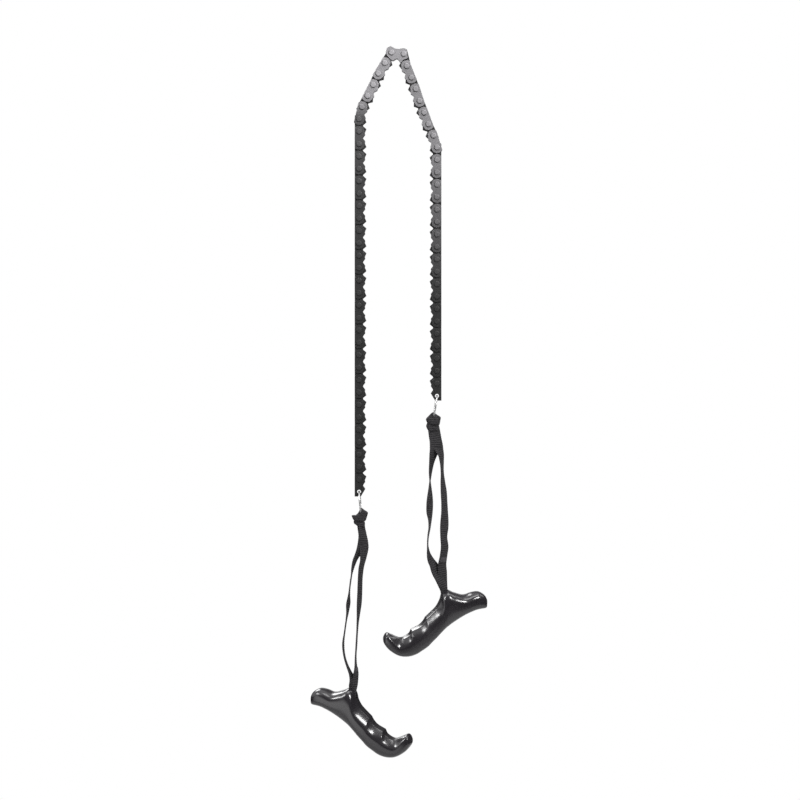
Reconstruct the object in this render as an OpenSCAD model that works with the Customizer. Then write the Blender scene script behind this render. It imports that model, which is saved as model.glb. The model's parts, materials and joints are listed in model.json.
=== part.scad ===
// Hand chain saw: a riveted toothed chain with a split ring, a webbing loop and a moulded grip at each end.
// X runs to the right, Y runs away from the viewer and Z runs up.
// The origin is the underside of the top link, where the chain hangs over what holds it.

/* [Chain] */
// Distance from one rivet to the next
pitch = 11; // [10:0.5:13.5]
// Rivet spacings on the left side, from the top link to its ring hole
left_pitches = 36; // [12:2:36]
// Rivet spacings on the right side, from the top link to its ring hole
right_pitches = 28; // [12:2:36]
// Gap between the round ends of two plates in one layer
end_gap = 0.8; // [0.6:0.1:2]
// Height of a plate from the rivet line to its plain back edge
plate_back = 3.9; // [3.6:0.1:4.6]
// Height of a plate from the rivet line to its toothed edge, at a rivet
plate_front = 4.3; // [3.8:0.1:4.6]
// Depth of the notch half way between two rivets, measured from the rivet line
notch_height = 3.6; // [3:0.1:3.8]
// Tooth height on the middle plates, from the rivet line
inner_tooth = 6.4; // [5.6:0.1:7]
// Tooth height on the outer plates, from the rivet line
outer_tooth = 5.4; // [4.8:0.1:5.8]
// Distance from a rivet to the tooth beside it, along the plate
tooth_offset = 2.4; // [2:0.1:3]
// Thickness of a middle plate
inner_thick = 1.4; // [1:0.1:2]
// Thickness of an outer plate
outer_thick = 1.2; // [0.8:0.1:1.6]
// Free space between two plates that turn on each other
side_gap = 0.1; // [0.05:0.05:0.2]
// Tilt of the top link in degrees, its right end down
top_tilt = 7; // [0:1:15]
// Height of the top link's rivet line above its underside, where the chain hangs
top_rise = 4.9; // [3.8:0.1:5.4]
// Height of the top link's waisted upper edge above its rivet line
top_waist = 3.9; // [3:0.1:4.6]

/* [Rivets] */
// Diameter of a rivet's shank
shank_d = 3.2; // [2.6:0.1:3.6]
// Free space around a shank in a plate, on the radius
shank_gap = 0.06; // [0.02:0.01:0.1]
// Diameter of a rivet's head
head_d = 5.2; // [4.4:0.1:5.8]
// Height of a rivet's head above the plate
head_h = 0.8; // [0.5:0.1:1.2]

/* [End rings] */
// Mean diameter of the split ring
ring_d = 18.6; // [17:0.1:24]
// Height of the ring's wire, across its two turns
ring_wide = 2; // [1.8:0.1:3]
// Thickness of the ring's wire, from inside to outside
ring_thick = 1.6; // [1.2:0.1:1.8]
// Diameter of the hole in the last link that the ring runs through
ring_hole_d = 4.4; // [4.2:0.1:4.8]
// Distance from the ring hole to the flat end of the last link
last_end = 4.2; // [4:0.1:5]
// Height of the last link's slanted corner above its rivet line, at that end
last_corner = 1.6; // [0:0.2:3]
// Lean of the left ring from upright, towards the right
left_ring_lean = 5; // [0:1:12]
// Lean of the right ring from upright, towards the left
right_ring_lean = 9; // [0:1:12]

/* [Straps] */
// Width of the webbing
web_wide = 10; // [8:0.5:12]
// Thickness of the webbing
web_thick = 1.2; // [0.9:0.1:1.5]
// Thickness of the hitch on the ring, from front to back
hitch_thick = 8; // [7:0.5:10]
// Free space between the hitch and the ring's wire
hitch_gap = 0.3; // [0.2:0.05:0.5]
// Width of the sewn neck where it goes into the grip
neck_wide = 6.4; // [5.5:0.1:7]
// Thickness of the sewn neck
neck_thick = 2.8; // [2.4:0.1:3.2]

/* [Grips] */
// Thickness of a grip from front to back
grip_thick = 24; // [20:0.5:29]
// How boxy a grip's cross-section is, from 2 for an oval to 6 for nearly square
grip_power = 4.4; // [2.5:0.1:5]
// Turn of the left grip about its strap in degrees, its outer end towards the viewer
left_grip_turn = 16; // [0:1:20]
// Turn of the right grip about its strap in degrees, its outer end away from the viewer
right_grip_turn = 8; // [0:1:20]
// Tilt of the left grip in degrees, its top towards the viewer
left_grip_tilt = 2; // [0:1:8]
// Tilt of the right grip in degrees, its top towards the viewer
right_grip_tilt = 6; // [0:1:8]
// Height of the bend in the strap above the grip's inlet
bend_up = 4.8; // [4.5:0.1:6]
// Free space around the neck in the grip's passage
passage_gap = 0.4; // [0.3:0.1:0.8]
// Diameter of the stopper under the grip
stop_wide = 11; // [9:0.5:12]
// Height of the stopper
stop_high = 3; // [2:0.5:4]
// Depth of the stopper's seat below the grip's inlet
seat_deep = 26; // [22:0.5:27]

/* [Hidden] */
$fn = 48;
SIDES = ["left", "right"];
// Lean of each plate from upright in degrees, from the top link down to where the side hangs straight
left_leans = [32, 31, 25, 27, 27, 13];
right_leans = [14, 22, 21, 18, 21, 20, 24, 17];
// Outline of the top link's two ends: height above the rivet line, and distance past the end's own rivet
top_left = [[4.1, -2], [5.6, 1.1], [3.6, 4.2], [1.8, 4.8], [-0.2, 4.9], [-2.5, 3.8], [-4.8, 1.5],
    [-6.6, -0.9], [-6.7, -2.6], [-6.2, -3.4], [-4.9, -4.9]];
top_right = [[-5.5, -3.8], [-7.1, -2.4], [-8.1, -1.7], [-7.2, -1.1], [-4.8, 0.8], [-3.5, 3.7], [-2.5, 3.8],
    [3.7, 2.2], [5.2, 0], [4.7, -2.2]];

end_r = (pitch - end_gap) / 2;
stack_half = inner_thick / 2 + side_gap + outer_thick;
hole_r = shank_d / 2 + shank_gap;

// -1 on the left, where outwards is -X, and +1 on the right
function out(side) = side == "left" ? -1 : 1;
function pitches(side) = side == "left" ? left_pitches : right_pitches;
function lean(side, i) =
    let (leans = side == "left" ? left_leans : right_leans) i < len(leans) ? leans[i] : 0;
top_middle = [0, top_rise];
// The top link's rivets, as X and Z
function top_rivet(side) = top_middle + pitch / 2 * out(side) * [cos(top_tilt), -sin(top_tilt)];
// Rivet n of a side, counted from the top link's own, as X and Z
function rivet_at(side, n) = n == 0 ? top_rivet(side)
    : rivet_at(side, n - 1) + pitch * [out(side) * sin(lean(side, n - 1)), -cos(lean(side, n - 1))];
function ring_hole(side) = rivet_at(side, pitches(side));
function ring_lean(side) = side == "left" ? left_ring_lean : -right_ring_lean;
// The ring's centre, and its foot where the strap holds it
function along_ring(side, length) =
    ring_hole(side) + length * [sin(ring_lean(side)), -cos(ring_lean(side))];
function ring_centre(side) = along_ring(side, ring_d / 2);
function ring_foot(side) = along_ring(side, ring_d);

// Stations of each strap: drop below the ring's foot, then for leg A and leg B the X of the webbing's middle
// and its turn in degrees, where 0 shows its flat side to the front and 90 its edge
left_legs = [
    [37, -2.9, 60, 2.4, 52], [42.1, -5.2, 67, 1.8, 62], [48.2, -7, 77, 0.4, 65],
    [55.3, -8.3, 90, -0.4, 68], [72.5, -10.5, 88, -1.1, 68], [80.6, -11.2, 72, -1.5, 68],
    [88.7, -11.9, 84, -2.1, 75], [104.9, -14.3, 90, -3.3, 88], [117.1, -15.7, 86, -4, 88],
    [129.3, -14.2, 90, -4.7, 90], [137.4, -11.5, 88, -4.6, 80], [142.5, -9.4, 84, -4.3, 74]
];
right_legs = [
    [33.1, -0.2, 44, 6.4, 58], [40, -1.6, 62, 7.2, 70], [48.9, -2.8, 74, 7.6, 75],
    [57.7, -3.2, 90, 8.1, 66], [66.6, -3.2, 108, 8.9, 58], [77.5, -3.5, 124, 9.5, 57],
    [85.4, -3.7, 119, 9.7, 54], [92.3, -3.4, 102, 9.6, 44], [98.2, -3.7, 95, 9.4, 42],
    [107.1, -5, 90, 9, 54], [116, -5.2, 88, 9.7, 48], [123.9, -3.9, 68, 8.7, 50],
    [131.8, -0.9, 52, 7.7, 52]
];
function legs(side) = side == "left" ? left_legs : right_legs;
function last_row(side) = legs(side)[len(legs(side)) - 1];
// Where the webbing goes into the grip, as X and Z from the ring's foot
function inlet_from_foot(side) = side == "left" ? [-7.3, -158.6] : [9.4, -156.8];
function inlet(side) = ring_foot(side) + inlet_from_foot(side);
// The hitch's outline as X and Z from the ring's foot, drawn for webbing that is 10 wide
outline_web = 10;
left_hitch = [[-0.2, 4.8], [5.6, 0], [4, -7.5], [3, -12.5], [5.8, -23.5], [6, -29.5], [5.2, -36.8],
    [-4.8, -36.8], [-2.8, -27.5], [-1.6, -19.5], [-2, -13], [-7.2, -9.5], [-8.2, -3]];
right_hitch = [[-0.4, 3.8], [6, -0.2], [5, -8], [4.4, -12.6], [7, -21.6], [8.2, -32.9], [-3.3, -32.9],
    [-3.6, -22.6], [-4.6, -15], [-6.6, -11.6], [-6.9, -7.2], [-5.9, -5.6], [-6.9, -2.2]];
knot_low = -13;
function hitch_outline(side) =
    [for (p = side == "left" ? left_hitch : right_hitch) [p[0] * web_wide / outline_web, p[1]]];
leg_gap = 0.2;
// The thread patch: its place along the last stretch of leg B, its margin at the webbing's edges and its gap
patch_from_to = [0.05, 0.7];
patch_margin = 1;
patch_gap = 0.15;
patch_thick = 0.4;
hinge_r = neck_thick / 2;
// The neck's outline: from the two legs down to the bend above the grip
function neck_outline(side) =
    let (row = last_row(side), top = -row[0] - leg_gap, at = inlet_from_foot(side) + [0, bend_up],
         half = neck_wide / 2, left_x = row[1] - reach(row[2]), right_x = row[3] + reach(row[4]))
    [[left_x, top], [right_x, top], [(right_x + at[0] + half) / 2 + 0.8, (top + at[1]) / 2],
     [at[0] + half, at[1]], [at[0] - half, at[1]], [(left_x + at[0] - half) / 2 + 0.3, (top + at[1]) / 2]];
// How far webbing that is turned by an angle reaches to each side
function reach(angle) = web_wide / 2 * abs(cos(angle)) + web_thick / 2 * abs(sin(angle));

// Edges of the right grip seen from the front, from its upturned tip to its short end, from the inlet
grip_top = [
    [-53.4, -37.6], [-50.6, -34.6], [-46.4, -36.4], [-38.5, -39.6], [-31.5, -36.6], [-28.9, -32.4],
    [-22, -28.9], [-18.4, -25.4], [-16.3, -21.8], [-12, -17.8], [-6.8, -12.4], [-3.5, -5.9], [-2, 0],
    [2.2, 3.1], [9, 0.4], [17.6, -1.9], [25, 0.2], [31, 0.8], [36.2, -2], [38.6, -6]
];
grip_bottom = [
    [-54, -40.2], [-53.2, -44.2], [-48.6, -49.6], [-41, -54.2], [-33.3, -55.3], [-25.8, -53.6],
    [-19.6, -49.8], [-14.6, -46.2], [-11, -42.4], [-7, -38.4], [-3, -34], [1, -30.2], [5, -27.2],
    [9.4, -24.2], [14, -21.2], [20, -17.8], [27.5, -14.8], [32.6, -13.8], [36.6, -13.4], [38.4, -12.6]
];
grip_steps = 72;
grip_sides = 24;
grip_ends = 0.32;

// A point on a smooth curve through the points p, at t from 0 to the number of spans
function curve(p, t) =
    let (last = len(p) - 1, i = min(floor(t), last - 1), f = t - i,
         a = p[max(i - 1, 0)], b = p[i], c = p[i + 1], d = p[min(i + 2, last)])
    b + f / 2 * ((c - a) + f * ((2 * a - 5 * b + 4 * c - d) + f * (3 * (b - c) + d - a)));
function power(v, n) = sign(v) * pow(abs(v), n);

// Outline of a plate from rivet to rivet down -Y, with its teeth on +X, and a flat end on the last one
module plate_outline(tooth, last = false) {
    foot = last ? [[last_corner, -pitch - last_end], [-plate_back, -pitch - last_end]]
        : [[plate_front, -pitch], [-plate_back, -pitch]];
    difference() {
        intersection() {
            union() {
                circle(end_r);
                if (!last) translate([0, -pitch]) circle(end_r);
                polygon(concat([
                    [-plate_back, 0], [plate_front, 0], [tooth, -tooth_offset], [notch_height, -pitch / 2],
                    [tooth, tooth_offset - pitch]
                ], foot));
            }
            polygon([
                [-plate_back, end_r + 1], [plate_front, end_r + 1], [plate_front, 0], [tooth, -tooth_offset],
                [tooth, tooth_offset - pitch], [plate_front, -pitch], [plate_front, -pitch - end_r - 1],
                [-plate_back, -pitch - end_r - 1]
            ]);
        }
        children();
    }
}

// Outline of the plain top link: cornered ends, and a waist on both edges
module top_outline() {
    difference() {
        polygon(concat(
            [[top_waist, -pitch / 2]],
            [for (p = top_left) p],
            [[-top_rise * cos(top_tilt), -pitch / 2 - top_rise * sin(top_tilt)]],
            [for (p = top_right) [p[0], -pitch - p[1]]]
        ));
        for (y = [0, -pitch]) translate([0, y]) circle(hole_r);
    }
}

// A plate standing on the rivet line from rivet i of a side to the next, from y_low to y_high
module stood(side, i, y_low, y_high) {
    at = rivet_at(side, i);
    translate([at[0], 0, at[1]])
        rotate([0, -out(side) * lean(side, i), 0])
            mirror([side == "right" ? 1 : 0, 0, 0])
                rotate([90, 0, 0]) translate([0, 0, -y_high]) linear_extrude(y_high - y_low) children();
}

module inner_plate(side, i) {
    color([0.33, 0.33, 0.35]) stood(side, i, -inner_thick / 2, inner_thick / 2)
        plate_outline(inner_tooth) for (y = [0, -pitch]) translate([0, y]) circle(hole_r);
}

module outer_plates(side, i, last) {
    for (back = [0, 1]) {
        low = back == 1 ? stack_half - outer_thick : -stack_half;
        color([0.28, 0.28, 0.3]) stood(side, i, low, low + outer_thick)
            plate_outline(outer_tooth, last) {
                circle(hole_r);
                translate([0, -pitch]) circle(last ? ring_hole_d / 2 : hole_r);
            }
    }
}

// A rivet through the whole stack, with a domed head on both faces
module rivet(at) {
    head_at = stack_half + shank_gap;
    color([0.5, 0.5, 0.52]) translate([at[0], 0, at[1]]) rotate([90, 0, 0])
        rotate_extrude() polygon([
            [0, -head_at - head_h], [head_d * 0.3, -head_at - head_h], [head_d / 2, -head_at - head_h / 3],
            [head_d / 2, -head_at], [shank_d / 2, -head_at], [shank_d / 2, head_at], [head_d / 2, head_at],
            [head_d / 2, head_at + head_h / 3], [head_d * 0.3, head_at + head_h], [0, head_at + head_h]
        ]);
}

module top_plate(low) {
    at = top_rivet("left");
    color([0.6, 0.6, 0.62]) translate([at[0], 0, at[1]]) rotate([0, top_tilt - 90, 0])
        rotate([90, 0, 0]) translate([0, 0, -low - outer_thick]) linear_extrude(outer_thick) top_outline();
}

module top_plate_front() { top_plate(-stack_half); }
module top_plate_back() { top_plate(stack_half - outer_thick); }
module top_rivets() { for (side = SIDES) rivet(top_rivet(side)); }

// Link k of a side, counted from 0: a middle plate, the pair of outer plates below it and their rivets
module link(side, k) {
    last = 2 * k + 2 == pitches(side);
    inner_plate(side, 2 * k);
    outer_plates(side, 2 * k + 1, last);
    rivet(rivet_at(side, 2 * k + 1));
    if (!last) rivet(rivet_at(side, 2 * k + 2));
}

// A ring round X, with its centre at the origin
module ring_shape(grow) {
    rotate([0, 90, 0]) rotate_extrude($fn = 72)
        translate([ring_d / 2 - ring_thick / 2 - grow, -ring_wide / 2 - grow])
            square([ring_thick + 2 * grow, ring_wide + 2 * grow]);
}

module at_ring(side) {
    at = ring_centre(side);
    translate([at[0], 0, at[1]]) rotate([0, -ring_lean(side), 0]) children();
}

module split_ring(side) { color([0.78, 0.78, 0.8]) at_ring(side) ring_shape(0); }

// A slab from front to back, with its outline in X and Z measured from the ring's foot
module slab(side, outline, thick) {
    at = ring_foot(side);
    translate([at[0], 0, at[1]]) rotate([90, 0, 0])
        translate([0, 0, -thick / 2]) linear_extrude(thick) polygon(outline);
}

// The webbing folded round the ring, and the doubled stretch below it
module hitch(side) {
    color([0.09, 0.09, 0.1]) difference() {
        union() {
            intersection() {
                slab(side, hitch_outline(side), hitch_thick);
                slab(side, [[-20, 20], [20, 20], [20, knot_low], [-20, knot_low]], hitch_thick);
            }
            slab(side, hitch_outline(side), 2 * web_thick + 0.2);
        }
        at_ring(side) ring_shape(hitch_gap);
    }
}

// The corners of a flat bar round a leg's middle at a station, from y_low to y_high across its thickness
function slice(side, row, x_column, half_wide, y_low, y_high) =
    let (at = ring_foot(side), a = row[x_column + 1])
    [for (p = [[-half_wide, y_low], [half_wide, y_low], [half_wide, y_high], [-half_wide, y_high]]) [
        at[0] + row[x_column] + p[0] * cos(a) - p[1] * sin(a), p[0] * sin(a) + p[1] * cos(a), at[1] - row[0]
    ]];

// Skin through slices that follow each other downwards
module skin(slices) {
    n = len(slices);
    polyhedron([for (s = slices) each s], concat(
        [[0, 1, 2, 3]],
        [[4 * n - 1, 4 * n - 2, 4 * n - 3, 4 * n - 4]],
        [for (i = [0:n - 2]) for (j = [0:3]) let (a = 4 * i + j, b = 4 * i + (j + 1) % 4)
            each [[a, a + 4, b], [b, a + 4, b + 4]]]
    ));
}

// One leg of the loop: level slices of webbing, each turned about the vertical
module leg(side, x_column) {
    half = web_thick / 2;
    color([0.1, 0.1, 0.11])
        skin([for (row = legs(side)) slice(side, row, x_column, web_wide / 2, -half, half)]);
}

// The two ends of the loop sewn together, down to the grip
module neck(side) {
    at = inlet(side);
    color([0.1, 0.1, 0.11]) {
        slab(side, neck_outline(side), neck_thick);
        translate([at[0] - neck_wide / 2, 0, at[1] + bend_up]) rotate([0, 90, 0])
            cylinder(r = hinge_r, h = neck_wide);
    }
}

// Where the sewn ends of the webbing overlap: a thread patch on the front of leg B's last stretch
module stitch_patch(side) {
    rows = legs(side);
    n = len(rows);
    near = -web_thick / 2 - patch_gap;
    ends = [for (row = [rows[n - 2], rows[n - 1]])
        slice(side, row, 3, web_wide / 2 - patch_margin, near - patch_thick, near)];
    color([0.3, 0.3, 0.32]) skin([for (t = patch_from_to) ends[0] + t * (ends[1] - ends[0])]);
}

// A point on the skin of the right grip, at step i along it and side j round it
function grip_point(i, j) =
    let (u = i / grip_steps,
         top = curve(grip_top, u * (len(grip_top) - 1)),
         bottom = curve(grip_bottom, u * (len(grip_bottom) - 1)),
         angle = 360 * j / grip_sides,
         fill = pow(sin(180 * min(max(u, 0.004), 0.996)), grip_ends),
         half = min(1, fill) * grip_thick / 2,
         rise = power(cos(angle), 2 / grip_power),
         across = power(sin(angle), 2 / grip_power),
         at = (top + bottom) / 2 + rise * (top - bottom) / 2)
    [at[0], half * across, at[1]];

module grip_body() {
    points = [for (i = [0:grip_steps]) for (j = [0:grip_sides - 1]) grip_point(i, j)];
    polyhedron(points, concat(
        [[for (j = [0:grip_sides - 1]) j]],
        [[for (j = [grip_sides - 1:-1:0]) grip_steps * grip_sides + j]],
        [for (i = [0:grip_steps - 1]) for (j = [0:grip_sides - 1])
            let (a = i * grip_sides + j, b = i * grip_sides + (j + 1) % grip_sides)
            each [[a, a + grip_sides, b], [b, a + grip_sides, b + grip_sides]]]
    ));
}

// Moves a grip from its own inlet to its place, turned about the strap and mirrored on the left
module at_grip(side) {
    at = inlet(side);
    translate([at[0], 0, at[1]])
        rotate(side == "left" ? [left_grip_tilt, 0, -left_grip_turn] : [right_grip_tilt, 0, right_grip_turn])
            mirror([side == "left" ? 1 : 0, 0, 0]) children();
}

module grip(side) {
    wide = neck_wide + 2 * passage_gap;
    deep = neck_thick + 2 * passage_gap;
    seat_r = stop_wide / 2 + passage_gap;
    color([0.07, 0.07, 0.08]) at_grip(side) difference() {
        grip_body();
        translate([-wide / 2, -deep / 2, -2 * seat_deep]) cube([wide, deep, 3 * seat_deep]);
        translate([0, 0, -2 * seat_deep]) cylinder(r = seat_r, h = seat_deep + passage_gap);
    }
}

// The webbing inside the grip and the stopper that keeps it there
module stopper(side) {
    top = bend_up - hinge_r - passage_gap;
    color([0.1, 0.1, 0.11]) at_grip(side) {
        translate([-neck_wide / 2, -neck_thick / 2, -seat_deep])
            cube([neck_wide, neck_thick, seat_deep + top]);
        translate([0, 0, -seat_deep - stop_high]) cylinder(d = stop_wide, h = stop_high);
    }
}

function two(k) = k < 10 ? str("0", k) : str(k);

top_plate_front();
top_plate_back();
top_rivets();
for (side = SIDES) for (k = [1:pitches(side) / 2])
    link(side, k - 1);
for (side = SIDES) {
    split_ring(side);
    hitch(side);
    leg(side, 1);
    leg(side, 3);
    neck(side);
    stitch_patch(side);
    stopper(side);
    grip(side);
}
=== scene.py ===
"""Looks of a hand chain saw that hangs over its middle: chain, split rings, webbing loops and moulded grips.

Lengths are in millimetres until a mesh is made. X runs right, Y away from the viewer, Z up, as in the frame.
"""
import json
import math

import bmesh
import bpy
import numpy as np
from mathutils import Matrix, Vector


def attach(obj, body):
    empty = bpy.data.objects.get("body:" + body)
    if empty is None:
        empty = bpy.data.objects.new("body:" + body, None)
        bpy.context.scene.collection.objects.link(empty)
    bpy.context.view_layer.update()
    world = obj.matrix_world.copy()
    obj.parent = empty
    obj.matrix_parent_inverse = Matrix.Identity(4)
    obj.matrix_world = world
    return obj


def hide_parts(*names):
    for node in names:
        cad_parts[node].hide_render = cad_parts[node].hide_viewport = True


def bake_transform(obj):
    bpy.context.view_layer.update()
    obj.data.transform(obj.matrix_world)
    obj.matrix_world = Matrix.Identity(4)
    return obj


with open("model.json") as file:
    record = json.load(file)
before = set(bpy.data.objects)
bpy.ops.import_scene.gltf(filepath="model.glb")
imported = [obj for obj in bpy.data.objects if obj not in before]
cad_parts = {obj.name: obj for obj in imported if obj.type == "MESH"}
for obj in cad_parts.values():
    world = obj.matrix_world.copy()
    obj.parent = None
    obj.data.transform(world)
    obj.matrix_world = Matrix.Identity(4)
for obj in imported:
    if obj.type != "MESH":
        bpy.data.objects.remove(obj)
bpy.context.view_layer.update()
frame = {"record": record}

MM = 0.001
SIDES = ("left", "right")
# Outwards is -X on the left run and +X on the right
OUT = {"left": -1.0, "right": 1.0}

# Chain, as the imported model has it
PITCH = 11.0
SPACINGS = {"left": 36, "right": 28}
# Degrees by which each step leans outwards, from the top link down; the steps below them hang straight
LEANS = {"left": (32, 31, 25, 27, 27, 13), "right": (14, 22, 21, 18, 21, 20, 24, 17)}
TOP_TILT = 7.0
TOP_RISE = 4.9
TOP_WAIST = 3.9
# Outline of the top link's two ends: height above the rivet line, and distance past the end's own rivet
TOP_LEFT = [(4.1, -2), (5.6, 1.1), (3.6, 4.2), (1.8, 4.8), (-0.2, 4.9), (-2.5, 3.8), (-4.8, 1.5),
            (-6.6, -0.9), (-6.7, -2.6), (-6.2, -3.4), (-4.9, -4.9)]
TOP_RIGHT = [(-5.5, -3.8), (-7.1, -2.4), (-8.1, -1.7), (-7.2, -1.1), (-4.8, 0.8), (-3.5, 3.7),
             (-2.5, 3.8), (3.7, 2.2), (5.2, 0), (4.7, -2.2)]
# Heights of a plate from the rivet line: its back, its front ends, the notch between its teeth, and teeth
PLATE_BACK = 3.9
PLATE_FRONT = 4.3
NOTCH = 3.6
INNER_TOOTH = 6.4
OUTER_TOOTH = 5.4
# How far along a plate each tooth is from its rivet
TOOTH_OFFSET = 2.4
END_R = 5.1
# How far the last plates go past the ring's hole, and the height at which their slanted corner ends
LAST_END = 4.2
LAST_CORNER = 1.6
INNER_THICK = 1.4
OUTER_THICK = 1.2
SIDE_GAP = 0.1
STACK_HALF = INNER_THICK / 2 + SIDE_GAP + OUTER_THICK
EASE = 0.16
HEAD_R = 2.6
HEAD_H = 0.8
# A rivet head's nearly flat top as shares of its radius and height, and its wall as a share of its height
HEAD_FLAT = 0.68
HEAD_EDGE = 0.98
HEAD_WALL = 0.3

# Split rings
RING_R = 9.3
RING_WIDE = 1.6
RING_THICK = 1.6
RING_HOLE_R = 1.75
# Where the wire starts, in degrees, and the angle that its step over takes, in radians
RING_SEAM = 140
STEP_OVER = 0.7
# Power that makes the wire's section squarish, and half the gap between its turns
WIRE_SQUARE = 0.55
TURN_GAP = 0.04
# Degrees from the vertical
RING_LEAN = {"left": 5.0, "right": -9.0}

# Straps and grips
WEB_WIDE = 10.0
WEB_THICK = 1.2
RIB = 1.9
# Shares of the webbing's half width that is rounded and of its thickness at the edge, and a rib's swell
EDGE_ROUND = 0.12
EDGE_THICK = 0.45
RIB_OUT = 0.1
RIB_UP = 0.07
# Where the strap enters each grip, as X and Z from the ring's foot, and how far above it the strap bends
INLET = {"left": (-7.3, -158.6), "right": (9.4, -156.8)}
BEND_UP = 4.8
NECK_WIDE = 6.4
NECK_THICK = 2.8
PASSAGE_GAP = 0.4
SEAT_DEEP = 26.0
STOP_R = 5.5
STOP_HIGH = 3.0
GRIP_THICK = 24.0
# Degrees over which a grip's edge is sharp
GRIP_SHARP = 28
# Powers of the superellipse of a grip's section: below, and above at the short arm and at the fingers
GRIP_POWER = 3.4
SADDLE_POWER = 2.6
FINGER_POWER = 4.4
FINGER_SLANT = 5.0
# Degrees about the vertical and about X
GRIP_TURN = {"left": -16.0, "right": 8.0}
GRIP_TILT = {"left": 2.0, "right": 6.0}


def rivet_at(side, n):
    """X and Z of rivet n of a side, counted from the top link's own: each step leans outwards by its lean."""
    tilt = math.radians(TOP_TILT)
    x = OUT[side] * PITCH / 2 * math.cos(tilt)
    z = TOP_RISE - OUT[side] * PITCH / 2 * math.sin(tilt)
    for lean in (LEANS[side] + (0,) * n)[:n]:
        x += OUT[side] * PITCH * math.sin(math.radians(lean))
        z -= PITCH * math.cos(math.radians(lean))
    return np.array([x, z])


def along_ring(side, length):
    """X and Z of a point that far from the ring's hole down the ring's leaning middle line."""
    lean = math.radians(RING_LEAN[side])
    return rivet_at(side, SPACINGS[side]) + length * np.array([math.sin(lean), -math.cos(lean)])


def turned(xyz, axis, degrees):
    """Points turned about an axis through the origin by the right-hand rule."""
    a = math.radians(degrees)
    c, s = math.cos(a), math.sin(a)
    i, j = {"x": (1, 2), "y": (2, 0), "z": (0, 1)}[axis]
    out = xyz.copy()
    out[..., i] = c * xyz[..., i] - s * xyz[..., j]
    out[..., j] = s * xyz[..., i] + c * xyz[..., j]
    return out


def hermite(f, a, slope_a, b, slope_b):
    """Point at share f of a cubic that leaves a and reaches b with the given slopes."""
    return ((2 * f**3 - 3 * f**2 + 1) * a + (f**3 - 2 * f**2 + f) * slope_a
            + (-2 * f**3 + 3 * f**2) * b + (f**3 - f**2) * slope_b)


def smooth_path(stations, count):
    """Rows along a Catmull-Rom curve through the stations, at even steps of the first column."""
    s = np.asarray(stations, float)
    t = np.linspace(s[0, 0], s[-1, 0], count)
    i = np.clip(np.searchsorted(s[:, 0], t, side="right") - 1, 0, len(s) - 2)
    span = s[i + 1, 0] - s[i, 0]
    f = ((t - s[i, 0]) / span)[:, None]
    slope = np.gradient(s, s[:, 0], axis=0)
    return hermite(f, s[i], slope[i] * span[:, None], s[i + 1], slope[i + 1] * span[:, None])


def eased(value):
    """A value held between 0 and 1, with a smooth start and end: 3 squares less 2 cubes."""
    held = np.clip(value, 0, 1)
    return held * held * (3 - 2 * held)


def bulged(value, power):
    """A cosine or sine raised to a power with its sign kept, for the sides of a superellipse."""
    return np.sign(value) * np.abs(value) ** power


def circle(count):
    """Angles of points round a circle, without the last that meets the first."""
    return np.linspace(0, 2 * math.pi, count, endpoint=False)


class Shape:
    """Grids and loops of points that together become one mesh."""

    def __init__(self):
        self.points, self.uvs, self.faces, self.slots, self.smooth = [], [], [], [], []
        self.count = 0

    def grid(self, xyz, uv=None, wrap=False, slot=0, smooth=True):
        """Adds quads between a grid's rows and gives its point numbers; wrap joins its two end columns."""
        rows, cols = xyz.shape[:2]
        index = self.count + np.arange(rows * cols).reshape(rows, cols)
        self.points.append(xyz.reshape(-1, 3))
        self.uvs.append((xyz[..., ::2] if uv is None else uv).reshape(-1, 2))
        self.count += rows * cols
        right = np.roll(index, -1, axis=1) if wrap else index[:, 1:]
        left = index if wrap else index[:, :-1]
        self.quads(np.stack([left[:-1], left[1:], right[1:], right[:-1]], -1), slot, smooth)
        return index

    def quads(self, corners, slot=0, smooth=True):
        """Adds four-cornered faces of points that the shape already has."""
        corners = corners.reshape(-1, 4).tolist()
        self.faces.extend(corners)
        self.slots.extend([slot] * len(corners))
        self.smooth.extend([smooth] * len(corners))

    def join(self, a, b, slot=0, smooth=True):
        """Joins two closed loops of as many points with quads."""
        self.quads(np.stack([a, np.roll(a, -1), np.roll(b, -1), b], -1), slot, smooth)

    def lid(self, loop, slot=0):
        """Closes a loop of points that the shape already has with one flat face."""
        self.faces.append(loop.tolist())
        self.slots.append(slot)
        self.smooth.append(False)

    def bar(self, xyz, uv=None, slot=0):
        """Adds a closed bar: rings of points one after another, with a flat face at each end."""
        index = self.grid(xyz, uv, wrap=True, slot=slot)
        self.lid(index[0], slot)
        self.lid(index[-1], slot)

    def build(self, name, materials, sharp=35.0):
        """Makes the object, in metres, with its normals outwards and edges over the angle sharp."""
        mesh = bpy.data.meshes.new(name)
        mesh.from_pydata((np.concatenate(self.points) * MM).tolist(), [], self.faces)
        layer = mesh.uv_layers.new(name="UVMap")
        corners = np.concatenate([np.asarray(face) for face in self.faces])
        layer.data.foreach_set("uv", np.concatenate(self.uvs)[corners].astype(np.float32).ravel())
        for material in materials:
            mesh.materials.append(material)
        mesh.polygons.foreach_set("material_index", self.slots)
        work = bmesh.new()
        work.from_mesh(mesh)
        bmesh.ops.recalc_face_normals(work, faces=work.faces)
        work.to_mesh(mesh)
        work.free()
        mesh.set_sharp_from_angle(angle=math.radians(sharp))
        mesh.polygons.foreach_set("use_smooth", self.smooth)
        obj = bpy.data.objects.new(name, mesh)
        bpy.context.scene.collection.objects.link(obj)
        return obj


def stands_for(obj, body, node, slot):
    """Says which body a piece rides on and which node it replaces; slot, the slot of its material, is not
    used.
    """
    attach(obj, body)
    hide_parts(node)


# Materials

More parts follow.
